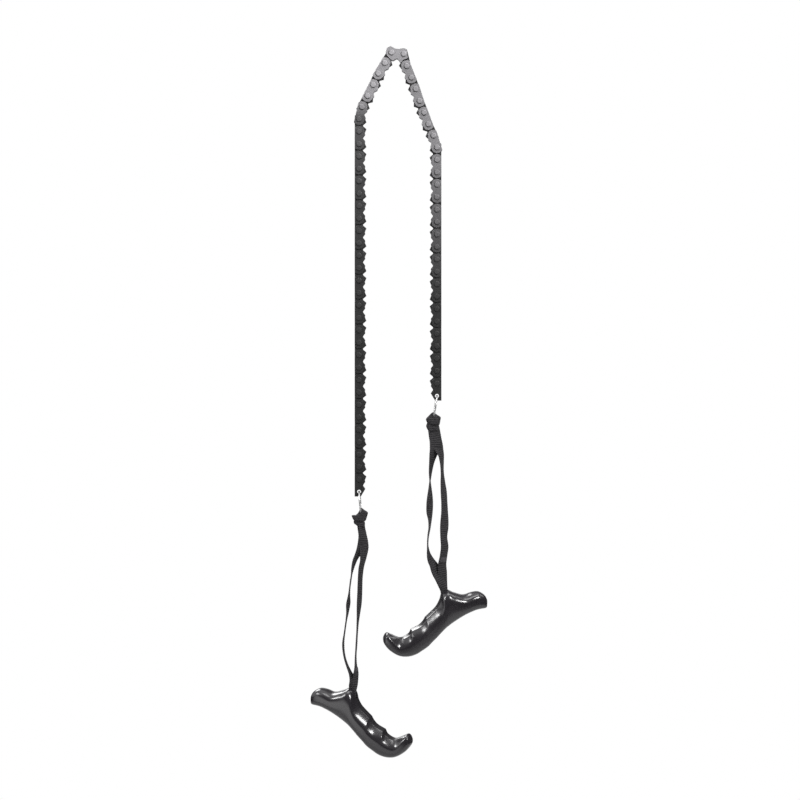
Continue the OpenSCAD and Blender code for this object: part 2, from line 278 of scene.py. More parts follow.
def add(tree, kind, inputs=(), **settings):
    """A node with its settings, and its inputs set to values or joined to other nodes' sockets."""
    node = tree.nodes.new(kind)
    for key, value in settings.items():
        setattr(node, key, value)
    for key, value in dict(inputs).items():
        if isinstance(value, bpy.types.NodeSocket):
            tree.links.new(value, node.inputs[key])
        else:
            node.inputs[key].default_value = value
    return node


def math_node(tree, operation, a, b=0.0):
    """The result of one Math node."""
    return add(tree, "ShaderNodeMath", {0: a, 1: b}, operation=operation).outputs[0]


def times(tree, a, b):
    """Two values multiplied."""
    return math_node(tree, "MULTIPLY", a, b)


def plus(tree, a, b):
    """Two values added."""
    return math_node(tree, "ADD", a, b)


def coordinates(tree, kind):
    """X, Y and Z of a texture coordinate."""
    texture = tree.nodes.new("ShaderNodeTexCoord")
    return add(tree, "ShaderNodeSeparateXYZ", {"Vector": texture.outputs[kind]}).outputs


def remap(tree, value, low, high, to_low=0.0, to_high=1.0, smooth=False):
    """A value moved from one range to another and held inside it."""
    kind = "SMOOTHSTEP" if smooth else "LINEAR"
    inputs = {"Value": value, "From Min": low, "From Max": high, "To Min": to_low, "To Max": to_high}
    return add(tree, "ShaderNodeMapRange", inputs, interpolation_type=kind).outputs["Result"]


def ramp(tree, value, low, high):
    """A smooth step of a value from low, where it is 0, to high, where it is 1."""
    return remap(tree, value, low, high, smooth=True)


def mix_colour(tree, factor, a, b):
    """Colour a turned into colour b by a factor."""
    inputs = {0: factor, 6: a, 7: b}
    return add(tree, "ShaderNodeMix", inputs, data_type="RGBA", clamp_factor=True).outputs[2]


def grey(value, violet=0.0):
    """A linear grey, or one that leans very slightly to violet."""
    return (value * (1 + 0.3 * violet), value * (1 - 0.7 * violet), value * (1 + violet), 1.0)


def surface_material(name, **values):
    """A material with its Principled shader, and the shader's plain values."""
    material = bpy.data.materials.new(name)
    material.use_nodes = True
    shader = material.node_tree.nodes["Principled BSDF"]
    for key, value in values.items():
        shader.inputs[key.replace("_", " ")].default_value = value
    return material, material.node_tree, shader


def group(name, inputs, outputs):
    """An empty node group with named number or colour sockets, and its two end nodes."""
    tree = bpy.data.node_groups.new(name, "ShaderNodeTree")
    for label, kind, value in inputs:
        socket = tree.interface.new_socket(name=label, in_out="INPUT", socket_type="NodeSocket" + kind)
        socket.default_value = value
    for label, kind in outputs:
        tree.interface.new_socket(name=label, in_out="OUTPUT", socket_type="NodeSocket" + kind)
    return tree, tree.nodes.new("NodeGroupInput"), tree.nodes.new("NodeGroupOutput")


def surface_wear_group():
    """Mottling and fine grain over metal or plastic, from Object coordinates, as two masks from 0 to 1."""
    tree, given, out = group(
        "surface_wear",
        [("Mottle Scale", "Float", 60.0), ("Grain Scale", "Float", 1500.0)],
        [("Mottle", "Float"), ("Grain", "Float")])
    place = tree.nodes.new("ShaderNodeTexCoord").outputs["Object"]
    mottle = add(tree, "ShaderNodeTexNoise", {
        "Vector": place, "Scale": given.outputs["Mottle Scale"], "Detail": 5.0, "Roughness": 0.6})
    grain = add(tree, "ShaderNodeTexNoise", {
        "Vector": place, "Scale": given.outputs["Grain Scale"], "Detail": 3.0, "Roughness": 0.7})
    tree.links.new(remap(tree, mottle.outputs["Fac"], 0.3, 0.7), out.inputs["Mottle"])
    tree.links.new(remap(tree, grain.outputs["Fac"], 0.25, 0.75), out.inputs["Grain"])
    return tree


def weave_group():
    """Ribbed webbing from its own UV map, in millimetres: ribs across it, and warp ends side by side.

    Each rib is a rounded hump of the cosine of the length, and each warp end a rounded hump of the cosine of
    the width, shifted by half a rib on every second end.
    """
    tree, given, out = group(
        "ribbed_weave", [("Rib", "Float", RIB), ("End", "Float", 0.8)], [("Height", "Float")])
    uv = coordinates(tree, "UV")
    across = math_node(tree, "DIVIDE", uv["X"], given.outputs["End"])
    along = math_node(tree, "DIVIDE", uv["Y"], given.outputs["Rib"])
    second = times(tree, math_node(tree, "MODULO", math_node(tree, "FLOOR", across), 2.0), 0.5)
    end_phase = times(tree, plus(tree, along, second), 2 * math.pi)
    yarn = math_node(tree, "ABSOLUTE", math_node(tree, "SINE", times(tree, across, math.pi)))
    hump = remap(tree, math_node(tree, "COSINE", end_phase), -1.0, 1.0)
    rib = remap(tree, math_node(tree, "COSINE", times(tree, along, 2 * math.pi)), -1.0, 1.0)
    height = plus(tree, times(tree, rib, 0.5), times(tree, times(tree, hump, yarn), 0.5))
    tree.links.new(height, out.inputs["Height"])
    return tree


WEAR = surface_wear_group()
WEAVE = weave_group()

# Heights on the chain in metres. On the left run the steel is pale above KNEE_UPPER and black below
# KNEE_BLACK, but for a faint rest that halves every HALVING below FAINT_FROM. On the right run it goes from
# black at RIGHT_BLACK to RIGHT_SHARE of pale at RIGHT_UPPER, and the rest comes between TOP_BAND and 0
KNEE_BLACK, KNEE_UPPER = -0.060, -0.031
FAINT, FAINT_FROM, HALVING = 0.21, -0.058, 0.04
RIGHT_BLACK, RIGHT_UPPER, RIGHT_SHARE = -0.22, -0.07, 0.76
TOP_BAND = -0.007


def wear_masks(tree, mottle_scale, grain_scale=1500.0):
    """The wear group's masks at two scales."""
    inputs = {"Mottle Scale": mottle_scale, "Grain Scale": grain_scale}
    return add(tree, "ShaderNodeGroup", inputs, node_tree=WEAR).outputs


def raise_surface(tree, shader, height, strength, distance):
    """Bumps a shader's normal by a height mask."""
    bump = add(tree, "ShaderNodeBump", {"Strength": strength, "Distance": distance, "Height": height})
    tree.links.new(bump.outputs["Normal"], shader.inputs["Normal"])


def upper_tone_mask(tree):
    """1 at the pale top of the chain, falling to 0 lower down, where the steel is dark.

    On the left run it falls within a few links below the knee and then halves every 40 mm. On the right run
    it is lower from the start and falls as the power 1.5 of the height.
    """
    place = coordinates(tree, "Object")
    height = place["Z"]
    halvings = math_node(tree, "DIVIDE", plus(tree, height, -FAINT_FROM), HALVING)
    faint = times(tree, math_node(tree, "POWER", 2.0, halvings), FAINT)
    left = math_node(tree, "MAXIMUM", ramp(tree, height, KNEE_BLACK, KNEE_UPPER),
                     math_node(tree, "MINIMUM", faint, FAINT))
    falling = math_node(tree, "POWER", remap(tree, height, RIGHT_BLACK, RIGHT_UPPER), 1.5)
    rest = times(tree, ramp(tree, height, TOP_BAND, 0.0), 1 - RIGHT_SHARE)
    right = plus(tree, times(tree, falling, RIGHT_SHARE), rest)
    is_right = math_node(tree, "GREATER_THAN", place["X"], 0.0)
    return plus(tree, times(tree, is_right, right),
                times(tree, math_node(tree, "SUBTRACT", 1.0, is_right), left))


def painted_shade_mask(tree):
    """Painted shade: 1 on the lower left of the rivets' rims, below nine tenths of their height, by the way
    they face.
    """
    place, facing = coordinates(tree, "Object"), coordinates(tree, "Normal")
    out = math_node(tree, "ABSOLUTE", place["Y"])
    edge = [(STACK_HALF + share * HEAD_H) * MM for share in (0.9, 0.97)]
    low_left = plus(tree, times(tree, facing["X"], -0.8), times(tree, facing["Z"], -0.6))
    return times(tree, remap(tree, out, *edge, 1.0, 0.0), ramp(tree, low_left, -0.15, 0.2))


def steel(name, black, upper_grey, rough, metallic, painted_shade=0.0):
    """Plate or rivet steel: dark low on the chain and pale at its top, mottled, with a fine grain.

    The last argument says how far the lower left of the rivets' rims is darkened by painted shade.
    """
    material, tree, shader = surface_material(name, Metallic=metallic, Specular_IOR_Level=0.5)
    wear = wear_masks(tree, 160.0, 2600.0)
    colour = mix_colour(tree, upper_tone_mask(tree), grey(black), grey(upper_grey, 0.025))
    dull_and_shaded = mix_colour(tree, remap(tree, wear["Mottle"], 0.2, 1.0, 0.0, 0.35), colour,
                      mix_colour(tree, 0.45, colour, grey(0.0)))
    # Painted shade on the lower left of the rivets' rims, where the light from the upper right leaves them in
    # shade
    if painted_shade:
        dull_and_shaded = mix_colour(tree, times(tree, painted_shade_mask(tree), painted_shade), dull_and_shaded, grey(0.0))
    tree.links.new(dull_and_shaded, shader.inputs["Base Color"])
    roughness = remap(tree, wear["Mottle"], 0.0, 1.0, rough - 0.07, rough + 0.1)
    tree.links.new(roughness, shader.inputs["Roughness"])
    raise_surface(tree, shader, wear["Grain"], 0.25, 0.00006)
    return material


def ring_metal():
    """Plated wire: bright, with faint rubbed patches."""
    material, tree, shader = surface_material("ring_wire", Metallic=1.0)
    rubbed = wear_masks(tree, 120.0)["Mottle"]
    tree.links.new(mix_colour(tree, rubbed, grey(0.66), grey(0.56)), shader.inputs["Base Color"])
    tree.links.new(remap(tree, rubbed, 0.0, 1.0, 0.4, 0.48), shader.inputs["Roughness"])
    return material


def webbing(name, low, high):
    """Black nylon webbing with a faint sheen, its colour lighter on its ribs and darker between them: a
    painted highlight on the ribs and painted shade between them.
    """
    material, tree, shader = surface_material(name, Roughness=0.8, Sheen_Weight=0.02, Sheen_Roughness=0.4,
                                             Specular_IOR_Level=0.25)
    height = add(tree, "ShaderNodeGroup", {}, node_tree=WEAVE).outputs["Height"]
    # Painted highlight on the ribs and painted shade between them, by the weave's height
    ribs = mix_colour(tree, height, grey(low, 0.05), grey(high, 0.05))
    dusty = remap(tree, wear_masks(tree, 120.0)["Mottle"], 0.0, 1.0, 0.0, 0.3)
    tree.links.new(mix_colour(tree, dusty, ribs, grey(low)), shader.inputs["Base Color"])
    raise_surface(tree, shader, height, 0.9, 0.0004)
    return material


def grip_plastic():
    """Glossy moulded black plastic with the slight unevenness of a moulding."""
    material, tree, shader = surface_material("grip_plastic", Specular_IOR_Level=0.8)
    wear = wear_masks(tree, 45.0, 420.0)
    colour = mix_colour(tree, wear["Mottle"], grey(0.017, 0.1), grey(0.022, 0.1))
    tree.links.new(colour, shader.inputs["Base Color"])
    tree.links.new(remap(tree, wear["Mottle"], 0.0, 1.0, 0.18, 0.25), shader.inputs["Roughness"])
    raise_surface(tree, shader, wear["Grain"], 0.05, 0.0001)
    return material


OUTER_STEEL = steel("outer_plate_steel", 0.022, 0.315, 0.5, 0.3)
# Middle plates are near black all along the chain: painted shade, for the shade they sit in between the outer
# plates
SHADED_INNER_STEEL = steel("middle_plate_shaded_steel", 0.034, 0.03, 0.5, 0.4)
# Rivet steel with painted shade on the lower left of each head's rim
RIVET_STEEL = steel("rivet_steel", 0.022, 0.37, 0.55, 0.2, painted_shade=0.86)
RING_METAL = ring_metal()
WEBBING = webbing("webbing", 0.012, 0.07)
THREAD = webbing("thread", 0.05, 0.12)
GRIP_PLASTIC = grip_plastic()


# Chain

def end_arc(centre, direction, count=13):
    """Round end of a plate: an arc of END_R about a rivet from back to front, as height and length."""
    a = np.linspace(math.asin(-PLATE_BACK / END_R), math.asin(PLATE_FRONT / END_R), count)[::-direction]
    return np.stack([END_R * np.sin(a), centre + direction * END_R * np.cos(a)], -1)


def plate_outline(tooth, last=False):
    """Closed outline of a toothed plate as height and length, from one round end round to the other.

    The last plate's lower end is flat, with its toothed corner cut off on a slant.
    """
    rising, falling, notch_half = 0.25, 0.15, 0.5
    teeth = np.array([
        [tooth, TOOTH_OFFSET - rising], [tooth, TOOTH_OFFSET + falling], [NOTCH, PITCH / 2 - notch_half],
        [NOTCH, PITCH / 2 + notch_half], [tooth, PITCH - TOOTH_OFFSET - falling],
        [tooth, PITCH - TOOTH_OFFSET + rising]])
    low = end_arc(PITCH, 1)
    if last:
        low = np.array([[LAST_CORNER, PITCH + LAST_END], [-PLATE_BACK, PITCH + LAST_END]])
    return np.concatenate([end_arc(0.0, -1), teeth, low])


def top_outline():
    """Closed outline of the top link: two cornered ends with a curve through their corners, and a waist."""
    tilt = math.radians(TOP_TILT)
    points = [(TOP_WAIST, PITCH / 2)] + [(h, -d) for h, d in TOP_LEFT]
    points.append((-TOP_RISE * math.cos(tilt), PITCH / 2 + TOP_RISE * math.sin(tilt)))
    points += [(h, PITCH + d) for h, d in TOP_RIGHT]
    return rounded_loop(points, 6 * len(points))


def inset(outline, depth):
    """A closed outline drawn in by a depth, each point along the mean of its two edges' normals."""
    ahead = np.roll(outline, -1, axis=0) - outline
    ahead /= np.maximum(np.linalg.norm(ahead, axis=1, keepdims=True), 1e-9)
    normal = np.stack([-ahead[:, 1], ahead[:, 0]], -1)
    mean = normal + np.roll(normal, 1, axis=0)
    mean /= np.maximum((mean * mean).sum(1, keepdims=True) / 2, 0.35)
    area = np.cross(outline, np.roll(outline, -1, axis=0)).sum()
    return outline + math.copysign(depth, area) * mean


def filled_in(outline, step=0.5):
    """A closed outline with more points along its long edges, and its own corners kept."""
    closed = np.vstack([outline, outline[:1]])
    length = np.concatenate([[0], np.cumsum(np.linalg.norm(np.diff(closed, axis=0), axis=1))])
    at = np.union1d(length[:-1], np.arange(0, length[-1], step))
    at = at[np.concatenate([[True], np.diff(at) > 0.02])]
    return np.stack([np.interp(at, length, closed[:, 0]), np.interp(at, length, closed[:, 1])], -1)


def plate(shape, outline, low, high, place, slot, hole=None):
    """Adds a plate with eased edges: rings of its outline from one face to the other, and the two faces.

    place turns height, length and Y into a point. A hole is its middle and radius; its edge has a point on
    the line from its middle to each point of the outline, so that quads join the two.
    """
    steps = ((low, EASE), (low + 0.3 * EASE, 0.3 * EASE), (low + EASE, 0.0),
             (high - EASE, 0.0), (high - 0.3 * EASE, 0.3 * EASE), (high, EASE))
    if hole is not None:
        outline = filled_in(outline)
    rings = np.stack([place(inset(outline, depth), y) for y, depth in steps])
    if hole is None:
        shape.bar(rings, slot=slot)
        return
    index = shape.grid(rings, wrap=True, slot=slot)
    middle, radius = hole
    away = outline - middle
    rim = middle + radius * away / np.linalg.norm(away, axis=1, keepdims=True)
    bore = shape.grid(np.stack([place(rim, y) for y in (low, high)]), wrap=True, slot=slot)
    shape.join(index[0], bore[0], slot, False)
    shape.join(index[-1], bore[1], slot, False)


def placer(start, along, up):
    """A function that places height and length at Y, from a start along two ways in the chain's plane."""
    def place(outline, y):
        xz = start + outline[:, 1:] * along + outline[:, :1] * up
        return np.stack([xz[:, 0], np.full(len(xz), float(y)), xz[:, 1]], -1)
    return place


def on_link(side, i):
    """Places height and length on the step from rivet i to the next, with height towards the other run."""
    start = rivet_at(side, i)
    along = (rivet_at(side, i + 1) - start) / PITCH
    return placer(start, along, -OUT[side] * np.array([-along[1], along[0]]))


def rivet(shape, at, slot):
    """Adds the two heads of a rivet: a pressed button, flat on top, whose rim falls as a quarter oval."""
    bend = np.linspace(0, math.pi / 2, 6)
    r = np.concatenate([[0.5], HEAD_FLAT + (1 - HEAD_FLAT) * np.sin(bend), [1.0]]) * HEAD_R
    rise = HEAD_H * np.concatenate([[1.0], HEAD_WALL + (HEAD_EDGE - HEAD_WALL) * np.cos(bend), [0.0]])
    ring = circle(32)
    for facing in (-1.0, 1.0):
        y = facing * (STACK_HALF + rise)
        shape.bar(np.stack([at[0] + r[:, None] * np.cos(ring), np.repeat(y[:, None], len(ring), 1),
                            at[1] + r[:, None] * np.sin(ring)], -1), slot=slot)


def make_top_link():
    """The plain pair of plates at the top, and their two rivets."""
    left, right = rivet_at("left", 0), rivet_at("right", 0)
    along = (right - left) / PITCH
    place = placer(left, along, np.array([-along[1], along[0]]))
    for name, low in (("top_plate_front", -STACK_HALF), ("top_plate_back", STACK_HALF - OUTER_THICK)):
        shape = Shape()
        plate(shape, top_outline(), low, low + OUTER_THICK, place, 0)
        stands_for(shape.build(name + "_look", [OUTER_STEEL]), "top_link", name, "bare_steel")
    shape = Shape()
    for at in (left, right):
        rivet(shape, at, 0)
    stands_for(shape.build("top_rivets_look", [RIVET_STEEL]), "top_link", "top_rivets", "bare_steel")


def make_link(side, k, slot_name):
    """Link k of a side, from 1: its middle plate, the pair of outer plates below it and their rivets."""
    first = 2 * k - 2
    last = 2 * k == SPACINGS[side]
    shape = Shape()
    plate(shape, plate_outline(INNER_TOOTH), -INNER_THICK / 2, INNER_THICK / 2, on_link(side, first), 0)
    hole = (np.array([0.0, PITCH]), RING_HOLE_R) if last else None
    outer = plate_outline(OUTER_TOOTH, last)
    for low in (-STACK_HALF, STACK_HALF - OUTER_THICK):
        plate(shape, outer, low, low + OUTER_THICK, on_link(side, first + 1), 1, hole)
    rivet(shape, rivet_at(side, first + 1), 2)
    if not last:
        rivet(shape, rivet_at(side, first + 2), 2)
    node = f"link_{side}_{k:02d}"
    stands_for(shape.build(node + "_look", [SHADED_INNER_STEEL, OUTER_STEEL, RIVET_STEEL]), node, node, slot_name)


def make_ring(side):
    """Split ring: flat wire carried twice round, stepping over by its own width after the first turn."""
    turns = np.linspace(0, 4 * math.pi, 241)
    step = eased((turns - 2 * math.pi + STEP_OVER / 2) / STEP_OVER)
    shift = (step - 0.5) * RING_WIDE / 2
    around = circle(16)
    wire_x = (RING_WIDE / 4 - TURN_GAP) * bulged(np.cos(around), WIRE_SQUARE)
    radius = RING_R + RING_THICK / 2 * bulged(np.sin(around), WIRE_SQUARE)[None, :]
    angle = turns[:, None] + math.radians(RING_SEAM)
    xyz = np.stack([shift[:, None] + wire_x[None, :] + 0 * angle, radius * np.cos(angle),
                    radius * np.sin(angle)], -1)
    centre = along_ring(side, RING_R)
    shape = Shape()
    shape.bar(turned(xyz, "y", -RING_LEAN[side]) + np.array([centre[0], 0, centre[1]]), xyz[..., ::2])
    node = f"ring_{side}"
    stands_for(shape.build(node + "_look", [RING_METAL], 60), node, node, "ring_wire")


# Straps. Stations: drop below the ring's foot, X from it, Y, turn in degrees, width, thickness
LEG_A = {
    "left": [
        (9, 0.3, -0.5, 54, 9, 1.2), (14, 0.8, -0.5, 56, 9.6, 1.2), (19.5, 1.5, -0.5, 50, 10, 1.2),
        (25, 1.6, -0.6, 38, 10, 1.2), (31, 0.2, -0.5, 42, 10, 1.2), (37, -2.7, -0.3, 58, 10, 1.2),
        (42.1, -5.2, 0, 67, 10, 1.2),
        (48.2, -7, 0, 77, 10, 1.2), (55.3, -8.3, 0, 90, 10, 1.2), (64, -9.6, 0, 92, 10, 1.2),
        (72.5, -10.5, 0, 86, 10, 1.2), (80.6, -11.2, 0, 72, 10, 1.2), (88.7, -11.9, 0, 82, 10, 1.2),
        (97, -13.2, 0, 90, 10, 1.2), (104.9, -14.3, 0, 90, 10, 1.2), (117.1, -15.7, 0, 86, 10, 1.2),
        (124, -15.2, 0, 88, 10, 1.2), (129.3, -14.2, 0, 89, 10, 1.2), (137.4, -11.5, -0.1, 86, 10, 1.2),
        (142.5, -9.3, -0.3, 78, 9.8, 1.2), (147, -7.6, -0.8, 62, 9.4, 1.3), (151, -6.9, -1.0, 40, 8.6, 1.4),
        (155, -7.1, -1.0, 10, 7.2, 1.4), (159, -7.3, -0.8, -14, 6.3, 1.3), (167, -7.3, -0.7, -16, 6.1, 1.3)],
    "right": [
        (9, -0.6, -0.8, 0, 9.6, 1.2), (16, 0.4, -0.8, 0, 9.8, 1.2), (23, 1.4, -0.8, 4, 10, 1.2),
        (29, 1.1, -0.7, 22, 10, 1.2), (33.1, -0.1, -0.4, 42, 10, 1.2), (40, -1.6, 0, 62, 10, 1.2),
        (48.9, -2.8, 0, 74, 10, 1.2), (57.7, -3.2, 0, 90, 10, 1.2), (66.6, -3.2, 0, 108, 10, 1.2),
        (77.5, -3.5, 0, 122, 10, 1.2), (85.4, -3.7, 0, 119, 10, 1.2), (92.3, -3.4, 0, 104, 10, 1.2),
        (98.2, -3.7, 0, 95, 10, 1.2), (107.1, -5, 0, 90, 10, 1.2), (116, -5.2, 0, 86, 10, 1.2),
        (123.9, -3.9, -0.1, 66, 10, 1.2), (128, -2.2, -0.4, 52, 10, 1.2), (131.8, 0.1, -0.8, 40, 10, 1.2),
        (138, 2.4, -1.1, 36, 10, 1.2), (144, 5.3, -1.2, 32, 9, 1.3), (149, 7.4, -1.2, 24, 7.8, 1.4),
        (153, 8.9, -1.0, 14, 6.8, 1.4),
        (157, 9.4, -0.8, 8, 6.2, 1.3), (165, 9.4, -0.7, 8, 6.1, 1.3)],
}
LEG_B = {
    "left": [
        (9, -0.5, 0.5, 54, 9, 1.2), (14, 0, 0.5, 56, 9.6, 1.2), (19.5, 1.2, 0.5, 50, 10, 1.2),
        (25, 1.9, 0.6, 36, 10, 1.2), (31, 2.6, 0.6, 38, 10, 1.2), (37, 2.4, 0.4, 52, 10, 1.2),
        (42.1, 1.8, 0.2, 62, 10, 1.2),
        (48.2, 0.4, 0, 65, 10, 1.2), (55.3, -0.4, 0, 68, 10, 1.2), (72.5, -1.1, 0, 68, 10, 1.2),
        (80.6, -1.5, 0, 68, 10, 1.2), (88.7, -2.1, 0, 75, 10, 1.2), (97, -2.8, 0, 84, 10, 1.2),
        (104.9, -3.3, 0, 88, 10, 1.2), (117.1, -4, 0, 88, 10, 1.2), (129.3, -4.7, 0, 88, 10, 1.2),
        (137.4, -4.6, 0.1, 80, 10, 1.2), (142.5, -4.6, 0.3, 66, 10, 1.2), (147, -5.2, 0.8, 56, 9.4, 1.3),
        (151, -6, 1.0, 40, 8.4, 1.4), (155, -6.9, 1.0, 12, 7.2, 1.4), (159, -7.3, 0.8, -14, 6.3, 1.3),
        (167, -7.3, 0.7, -16, 6.1, 1.3)],
    "right": [
        (9, 0.2, 0.8, 0, 9.6, 1.2), (16, 1.4, 0.8, 0, 9.8, 1.2), (23, 2.7, 0.8, 8, 10, 1.2),
        (29, 4.8, 0.7, 38, 10, 1.2), (33.1, 6.3, 0.4, 56, 10, 1.2), (40, 7.2, 0, 69, 10, 1.2),
        (48.9, 7.6, 0, 75, 10, 1.2), (57.7, 8.1, 0, 67, 10, 1.2), (66.6, 8.9, 0, 58, 10, 1.2),
        (77.5, 9.5, 0, 57, 10, 1.2), (85.4, 9.7, 0, 53, 10, 1.2), (92.3, 9.6, 0, 45, 10, 1.2),
        (98.2, 9.4, 0, 43, 10, 1.2), (107.1, 9, 0, 53, 10, 1.2), (116, 9.7, 0, 48, 10, 1.2),
        (123.9, 8.7, 0.1, 48, 10, 1.2), (131.8, 7.5, 0.6, 42, 10, 1.2), (138, 7.8, 1.0, 38, 10, 1.2),
        (144, 8.1, 1.2, 32, 9, 1.3), (149, 8.4, 1.2, 24, 8, 1.4), (153, 9, 1.0, 14, 6.8, 1.4),
        (157, 9.4, 0.8, 8, 6.2, 1.3), (165, 9.4, 0.7, 8, 6.1, 1.3)],
}
# The thread patch on leg B, as drops below the ring's foot
PATCH = {"left": (137.8, 140.8), "right": (124.3, 129.1)}


def ribbon_frame(side, stations, rows):
    """Middle, widthwise and facing directions and length of webbing along its stations, and its stations."""
    path = smooth_path(stations, rows)
    foot = along_ring(side, 2 * RING_R)
    middle = np.stack([foot[0] + path[:, 1], path[:, 2], foot[1] - path[:, 0]], -1)
    turn = np.radians(path[:, 3])
    wide = np.stack([np.cos(turn), np.sin(turn), 0 * turn], -1)
    run = np.gradient(middle, axis=0)
    length = np.concatenate([[0], np.cumsum(np.linalg.norm(np.diff(middle, axis=0), axis=1))])
    run /= np.linalg.norm(run, axis=1, keepdims=True)
    wide -= (wide * run).sum(1, keepdims=True) * run
    wide /= np.linalg.norm(wide, axis=1, keepdims=True)
    return middle, wide, np.cross(wide, run), length, path


def make_leg(side, label, stations, nodes):
    """A length of webbing: a round-edged bar carried down its stations, swelling by a cosine at each rib."""
    rows = int((stations[-1][0] - stations[0][0]) / RIB * 6)
    middle, wide, facing, length, path = ribbon_frame(side, stations, rows)
    cols = 9
    across = np.concatenate([np.linspace(-1, 1, cols), np.linspace(1, -1, cols)])
    face = np.repeat([1.0, -1.0], cols)
    edge = np.clip((1 - np.abs(across)) / EDGE_ROUND, 0, 1) ** 0.5
    rib = np.cos(2 * math.pi * length / RIB)[:, None]
    half_wide, half_thick = path[:, 4:5] / 2, path[:, 5:6] / 2
    out = (half_wide + RIB_OUT * rib) * across
    up = face * (half_thick * (EDGE_THICK + (1 - EDGE_THICK) * edge) + RIB_UP * rib * edge)
    xyz = middle[:, None] + wide[:, None] * out[..., None] + facing[:, None] * up[..., None]
    uv = np.stack([half_wide * across, np.repeat(length[:, None], len(across), 1)], -1)
    shape = Shape()
    shape.bar(xyz, uv)
    obj = shape.build(f"leg_{label}_{side}_look", [WEBBING], 70)
    bend = along_ring(side, 2 * RING_R) + np.array(INLET[side]) + np.array([0, BEND_UP])
    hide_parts(*nodes)
    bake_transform(obj)


def make_patch(side):
    """Thread sewn over the webbing: a low pad on leg B whose face rises and falls with each stitch."""
    middle, wide, facing, length, path = ribbon_frame(side, LEG_B[side], 1600)
    low, high = PATCH[side]
    pick = (path[:, 0] >= low) & (path[:, 0] <= high)
    middle, wide, facing, length = middle[pick], wide[pick], facing[pick], length[pick]
    s = np.linspace(0, 1, len(length))[:, None]
    across = np.linspace(-1, 1, 61)[None, :]
    edge, margin, pad_high, stitch_high = 0.06, 1.0, 0.22, 0.2
    lift = (np.clip((1 - np.abs(across)) / edge, 0, 1) * np.clip(np.minimum(s, 1 - s) / edge, 0, 1)) ** 0.5
    stitch = np.abs(np.sin(across * 22 + 4 * math.pi * np.round(s * 6)))
    out = WEB_THICK / 2 + 0.05 + lift * (pad_high + stitch_high * stitch)
    half = (WEB_WIDE / 2 - margin) * across
    face = middle[:, None] + wide[:, None] * half[..., None] - facing[:, None] * out[..., None]
    back = middle[:, None] + wide[:, None] * half[..., None] - facing[:, None] * 0.3
    uv = np.stack([half + 0 * s, (length - length[0])[:, None] + 0 * half], -1)
    shape = Shape()
    front, behind = shape.grid(face, uv), shape.grid(back, uv)
    rims = [np.concatenate([i[0, :-1], i[:-1, -1], i[-1, :0:-1], i[:0:-1, 0]]) for i in (front, behind)]
    shape.join(*rims)
    obj = shape.build(f"stitch_patch_{side}_look", [THREAD], 50)
    stands_for(obj, f"strap_{side}", f"stitch_patch_{side}", "thread")


# Folds of the hitch: outline as X and Z from the ring's foot, then front and back Y
HITCH_FOLDS = {
    "left": [
        ([(-0.4, 4.6), (2.6, 2.6), (6.2, 0), (5.4, -3.6), (4.2, -7), (1.0, -8.6), (-3.6, -8.4),
          (-6.8, -6.2), (-8.2, -2.6), (-5.4, -2.8), (-2.6, -0.4), (-1.2, 2.4)], -3.6, 3.6),
        ([(-6, -6.4), (-2, -7.8), (2.6, -7.4), (3.6, -9.4), (3.2, -12.4), (0, -13.6), (-2.4, -12.6),
          (-4.6, -10.8), (-6.4, -9.2)], -2.2, 2.9)],
    "right": [
        ([(-0.9, 3.8), (0.6, 3.4), (3.2, 1.6), (6.2, -0.4), (5.9, -3.6), (5.0, -7.4), (1.6, -8.4),
          (-2.6, -7.4), (-5.8, -5.4), (-6.9, -2.2), (-4.6, 0.6), (-2.4, 2.8)], -3.8, 3.8),
        ([(-5.4, -5.2), (-2.2, -7), (1.8, -8), (4.6, -7.4), (4.5, -10.2), (4.4, -12.8), (0.6, -13.6),
          (-3.2, -13.4), (-5.4, -11.6), (-6.7, -8.4)], -2.3, 3.1)],
}


def rounded_loop(points, count):
    """A closed smooth curve through points: Catmull-Rom with its corners kept fairly tight."""
    p = np.asarray(points, float)
    n = len(p)
    t = np.linspace(0, n, count, endpoint=False)
    i = t.astype(int)
    a, b, c, d = p[(i - 1) % n], p[i % n], p[(i + 1) % n], p[(i + 2) % n]
    tight = 0.32
    return hermite((t - i)[:, None], b, tight * (c - a), c, tight * (d - b))


def make_hitch(side):
    """The folded webbing on the ring: flat bundles whose rims show the layers as grooves.

    Each bundle is its outline carried from front to back, drawn in at both faces, and swelling and shrinking
    by a cosine once for each layer of webbing.
    """
    foot = along_ring(side, 2 * RING_R)
    rows, layers, girth, drawn_in, groove = 41, 5, 40, 0.2, 0.028
    v = np.linspace(-1, 1, rows)
    draw = 1 - drawn_in * np.abs(v) ** 5 - groove * (1 - np.cos(math.pi * layers * (v + 1)))
    shape = Shape()
    for outline, front, back in HITCH_FOLDS[side]:
        loop = rounded_loop(outline, 120)
        middle = loop.mean(0)
        y = np.repeat(((front + back) / 2 + v * (back - front) / 2)[:, None], len(loop), 1)
        rings = middle + (loop - middle)[None] * draw[:, None, None]
        xyz = np.stack([foot[0] + rings[..., 0], y, foot[1] + rings[..., 1]], -1)
        uv = np.stack([y * 2.0, np.repeat(np.linspace(0, girth, len(loop))[None], rows, 0)], -1)
        index = shape.grid(xyz, uv, wrap=True)
        for edge, facing in ((0, -1.0), (rows - 1, 1.0)):
            face_lid(shape, xyz[edge], index[edge], foot, facing)
    obj = shape.build(f"hitch_{side}_look", [WEBBING], 60)
    stands_for(obj, f"strap_{side}", f"hitch_{side}", "webbing")


